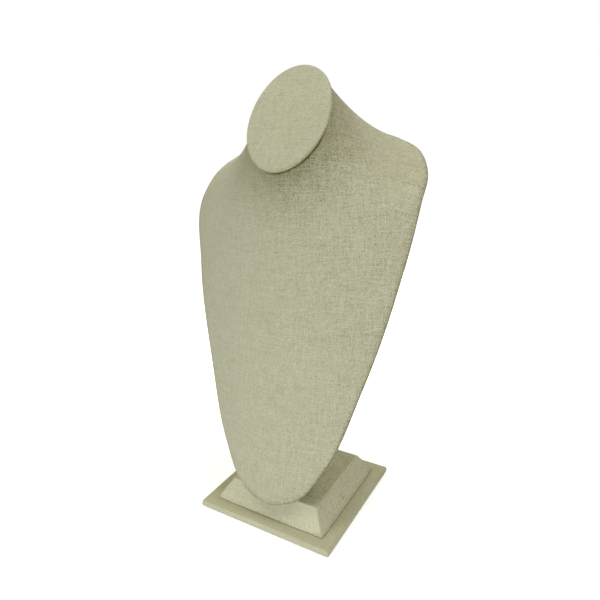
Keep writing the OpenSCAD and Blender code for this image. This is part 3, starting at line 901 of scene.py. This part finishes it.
to_cap = np.linalg.norm(cover_grid[:, :, None, :] - cap_edge, axis=3).min(axis=2)
under_cap = np.clip(1 - to_cap / CAP_SHADE_REACH, 0, 1)
in_joint_shadow = np.clip((JOINT_SHADOW_END - to_cap) / JOINT_SHADOW_SOFTNESS, 0, 1)
right_side = np.clip((cover_grid[:, :, 0] - JOINT_SHADOW_FROM) / JOINT_SHADOW_GROWS_OVER, JOINT_SHADOW_LEAST, 1)
cover_shade = CAP_SHADE * under_cap ** CAP_SHADE_POWER + right_side * in_joint_shadow
cover_shade[:, last:last + RIM_ROWS] += RIM_SHADES
cover_shade[:, last - len(BEFORE_RIM_SHADES):last] += BEFORE_RIM_SHADES
cover_flat = flatten_cloth(cover_grid)
bust_cover = cloth_from_grid("bust_cover", cover_grid, cover_flat, cover_shade)
# A point in the middle of the chest, by meridian and row
front = (ROUND // 2, 30)
face_away(bust_cover, bust_face[front], bust_normal[front])
cover_area = cut_area(bust_cover)
thicken(bust_cover)
finish_cloth(bust_cover, "bust_linen", linen, flat=flat_size(cover_flat), held="stretched",
             rests_on=["bust_shell"], area=float(cover_area))


# Lining of the hollow back: a second piece of the linen, glued inside the shell, its edge lapped over
# the hem to 6 mm from the rim. Over the hem each row is lifted by these thicknesses of linen.
LAP_LIFTS = (0.25, 1, 1, 1)
lining_rows = list(range(ROWS_TO_HEM - 1)) + [ROWS_TO_HEM + step for step in range(len(LAP_LIFTS))]
lining_depths = [WALL] * (ROWS_TO_HEM - 1) + [WALL + lift * LINEN_T for lift in LAP_LIFTS]
lining_grid = np.stack([bust_under(row, depth) for row, depth in zip(lining_rows, lining_depths)], axis=1)
lining_flat = cover_flat[:, lining_rows]
bust_lining = cloth_from_grid("bust_lining_cloth", lining_grid, lining_flat, np.zeros(lining_grid.shape[:2]))
face_away(bust_lining, lining_grid[front], -bust_normal[front])
lining_area = cut_area(bust_lining)
thicken(bust_lining)
finish_cloth(bust_lining, "bust_lining", linen, flat=flat_size(lining_flat), held="stretched",
             rests_on=["bust_shell"], area=float(lining_area))


# Linen over the neck cap: an oval of cloth pulled over the rounded edge and turned 12 mm behind the
# board, which is then glued on the neck's slanting end.
CAP_EDGE_R = 0.0026
CAP_EDGE_STEPS = 8
CAP_POINTS = 128
CAP_CLOTH = (0.107, 0.130)


def oval_ring(inwards, z):
    """Points round the cap's oval, smaller by inwards, at height z over the neck's cut."""
    angle = np.linspace(0, 2 * math.pi, CAP_POINTS, endpoint=False)
    return np.stack([(CAP_HALF_W - inwards) * np.cos(angle), (CAP_HALF_L - inwards) * np.sin(angle),
                     np.full(CAP_POINTS, z)], axis=1)


# The turned edge first, then how the back edge rolls: inwards and up, in thicknesses of linen
cap_rings = [oval_ring(TURN_UNDER, 0.0)]
for inwards, up in ((1.2, 0.0), (0.4, 0.25), (0.0, 1.0)):
    cap_rings.append(oval_ring(inwards * LINEN_T, up * LINEN_T))
for step in range(CAP_EDGE_STEPS + 1):
    angle = math.pi / 2 * step / CAP_EDGE_STEPS
    cap_rings.append(oval_ring(CAP_EDGE_R * (1 - math.cos(angle)),
                               CAP_T - CAP_EDGE_R * (1 - math.sin(angle))))
oval_out = oval_ring(0.0, 0.0)[:, :2] / [CAP_HALF_W ** 2, CAP_HALF_L ** 2]
oval_out = oval_out / np.linalg.norm(oval_out, axis=1)[:, None]
cap_axes = Matrix(((1, 0, 0, NECK_CENTRE[0]), (0, CAP_UP[1], CAP_OUT[1], NECK_CENTRE[1]),
                   (0, CAP_UP[2], CAP_OUT[2], NECK_CENTRE[2]), (0, 0, 0, 1)))
# Painted shade on the cap's edge: dark where the linen turns under the back of the board, fading up the
# lower part of the rounded edge
cap_shades = [0.8, 0.8, 0.8, 0.6, 0.4, 0.25, 0.15, 0.08] + [0.0] * (5 + len(FACE_SHRINKS))
cap_linen = linen_finish("cap_linen_cloth", plain_weave, (0.835, 0.84, 0.835), (0.7, 0.8))
cap_cover = stretched_cover("cap_cover", cap_rings, oval_out, FACE_SHRINKS, cap_shades, cap_axes)
cap_area = cut_area(cap_cover)
thicken(cap_cover)
finish_cloth(cap_cover, "neck_linen", cap_linen, flat=CAP_CLOTH, held="stretched",
             rests_on=["neck_board"], area=min(cap_area, CAP_CLOTH[0] * CAP_CLOTH[1]))


# Studio: a pale floor that is white away from the foot, soft lamps above on the left, on the right and
# behind, smaller ones low in front and behind, and the camera where the photograph was taken.
FLOOR_SIZE = 12
# How far from the stand's middle the floor's white begins and is full, and what it begins with
WHITE_FROM = 0.08
WHITE_TO = 0.3
WHITE_AT_FOOT = 0.38
bpy.ops.mesh.primitive_plane_add(size=FLOOR_SIZE, location=(0, 0, 0))
floor = bpy.context.object
floor.name = "studio_floor"
paper, tree, shader = new_finish("pale_paper", 0.9, 0.1)
fine = add_node(tree, "TexNoise", {"Vector": place_in_object(tree), "Scale": 300.0, "Detail": 2.0})
tree.links.new(colour_ramp(tree, fine.outputs[0], [
    (0.3, (0.84, 0.85, 0.88)), (0.7, (0.86, 0.87, 0.9))]), shader.inputs["Base Color"])
seen = add_node(tree, "LightPath").outputs["Is Camera Ray"]
away = add_node(tree, "VectorMath", {0: place_in_object(tree)}, operation="LENGTH").outputs["Value"]
away = map_range(tree, away, WHITE_FROM, WHITE_TO, WHITE_AT_FOOT, 1.0, interpolation_type="SMOOTHSTEP")
glow = add_node(tree, "Emission", {"Color": (1, 1, 1, 1), "Strength": calc(tree, "MULTIPLY", seen, away)})
both = add_node(tree, "AddShader", {0: shader.outputs[0], 1: glow.outputs[0]})
tree.links.new(both.outputs[0], tree.nodes["Material Output"].inputs["Surface"])
floor.data.materials.append(paper)

world = bpy.data.worlds.new("studio")
bpy.context.scene.world = world
world.use_nodes = True
tree = world.node_tree
# A faint warm light from all round, behind what is seen as white
sky = tree.nodes["Background"]
sky.inputs["Color"].default_value = (1.0, 0.95, 0.7, 1)
sky.inputs["Strength"].default_value = 0.09
white = add_node(tree, "Background", {"Color": (1, 1, 1, 1), "Strength": 1.0})
path = add_node(tree, "LightPath").outputs
seen = calc(tree, "MAXIMUM", path["Is Camera Ray"], calc(tree, "MAXIMUM", path["Is Glossy Ray"],
                                                         path["Is Transmission Ray"]))
mixed = add_node(tree, "MixShader", {0: seen, 1: sky.outputs[0], 2: white.outputs[0]})
tree.links.new(mixed.outputs[0], tree.nodes["World Output"].inputs["Surface"])


def soft_lamp(name, place, aim, size, power, colour):
    """A square area lamp."""
    lamp = bpy.data.lights.new(name, "AREA")
    lamp.shape = "SQUARE"
    lamp.size = size
    lamp.energy = power
    lamp.color = colour
    held = bpy.data.objects.new(name, lamp)
    held.location = place
    held.rotation_euler = (Vector(aim) - Vector(place)).to_track_quat("-Z", "Y").to_euler()
    held.visible_camera = False
    bpy.context.scene.collection.objects.link(held)


# Parts of the stand that the lamps look at
MIDDLE = (0, -0.03, 0.2)
CHEST = (0, 0, 0.25)
LOW_FRONT = (0, -0.03, 0.1)
soft_lamp("lamp_left", (-0.411, -0.268, 1.023), MIDDLE, 0.5, 4.4, (1.0, 0.99, 0.88))
soft_lamp("lamp_right", (0.475, -0.03, 1.023), MIDDLE, 0.5, 6.5, (1.0, 0.98, 0.91))
soft_lamp("lamp_behind", (-0.5, 0.55, 0.8), MIDDLE, 0.5, 3.0, (1.0, 0.93, 0.68))
soft_lamp("lamp_low_behind", (-0.2, 0.95, 0.1), CHEST, 0.4, 4.0, (1.0, 0.98, 0.93))
soft_lamp("lamp_low_left", (-0.2, -0.7, 0.08), LOW_FRONT, 0.2, 2.55, (0.95, 0.98, 1.0))
soft_lamp("lamp_low_right", (0.45, -0.6, 0.08), LOW_FRONT, 0.2, 2.25, (0.97, 0.965, 0.93))

# The camera's place and how it is turned, worked out from the square foot in the photograph, and its
# focal length in pixels of that photograph, which is 600 pixels wide
CAMERA_PLACE = (0.23522, -0.39718, 0.35022)
AZIMUTH, ELEVATION, ROLL = 0.525408, 0.302099, -0.0134339
LENS_PX = 518.0
PHOTO_PX = 600
SENSOR_MM = 36.0
lens = bpy.data.cameras.new("camera")
lens.sensor_width = SENSOR_MM
lens.lens = SENSOR_MM * LENS_PX / PHOTO_PX
lens.clip_start = 0.01
lens.clip_end = 50
camera = bpy.data.objects.new("camera", lens)
bpy.context.scene.collection.objects.link(camera)
bpy.context.scene.camera = camera
back = Vector((math.sin(AZIMUTH) * math.cos(ELEVATION), -math.cos(AZIMUTH) * math.cos(ELEVATION),
               math.sin(ELEVATION)))
level = Vector((math.cos(AZIMUTH), math.sin(AZIMUTH), 0))
upright = back.cross(level)
right = math.cos(ROLL) * level + math.sin(ROLL) * upright
above = -math.sin(ROLL) * level + math.cos(ROLL) * upright
camera_rows = [(right[i], above[i], back[i], CAMERA_PLACE[i]) for i in range(3)]
camera.matrix_world = Matrix((*camera_rows, (0, 0, 0, 1)))

bpy.context.scene.view_settings.view_transform = "Standard"
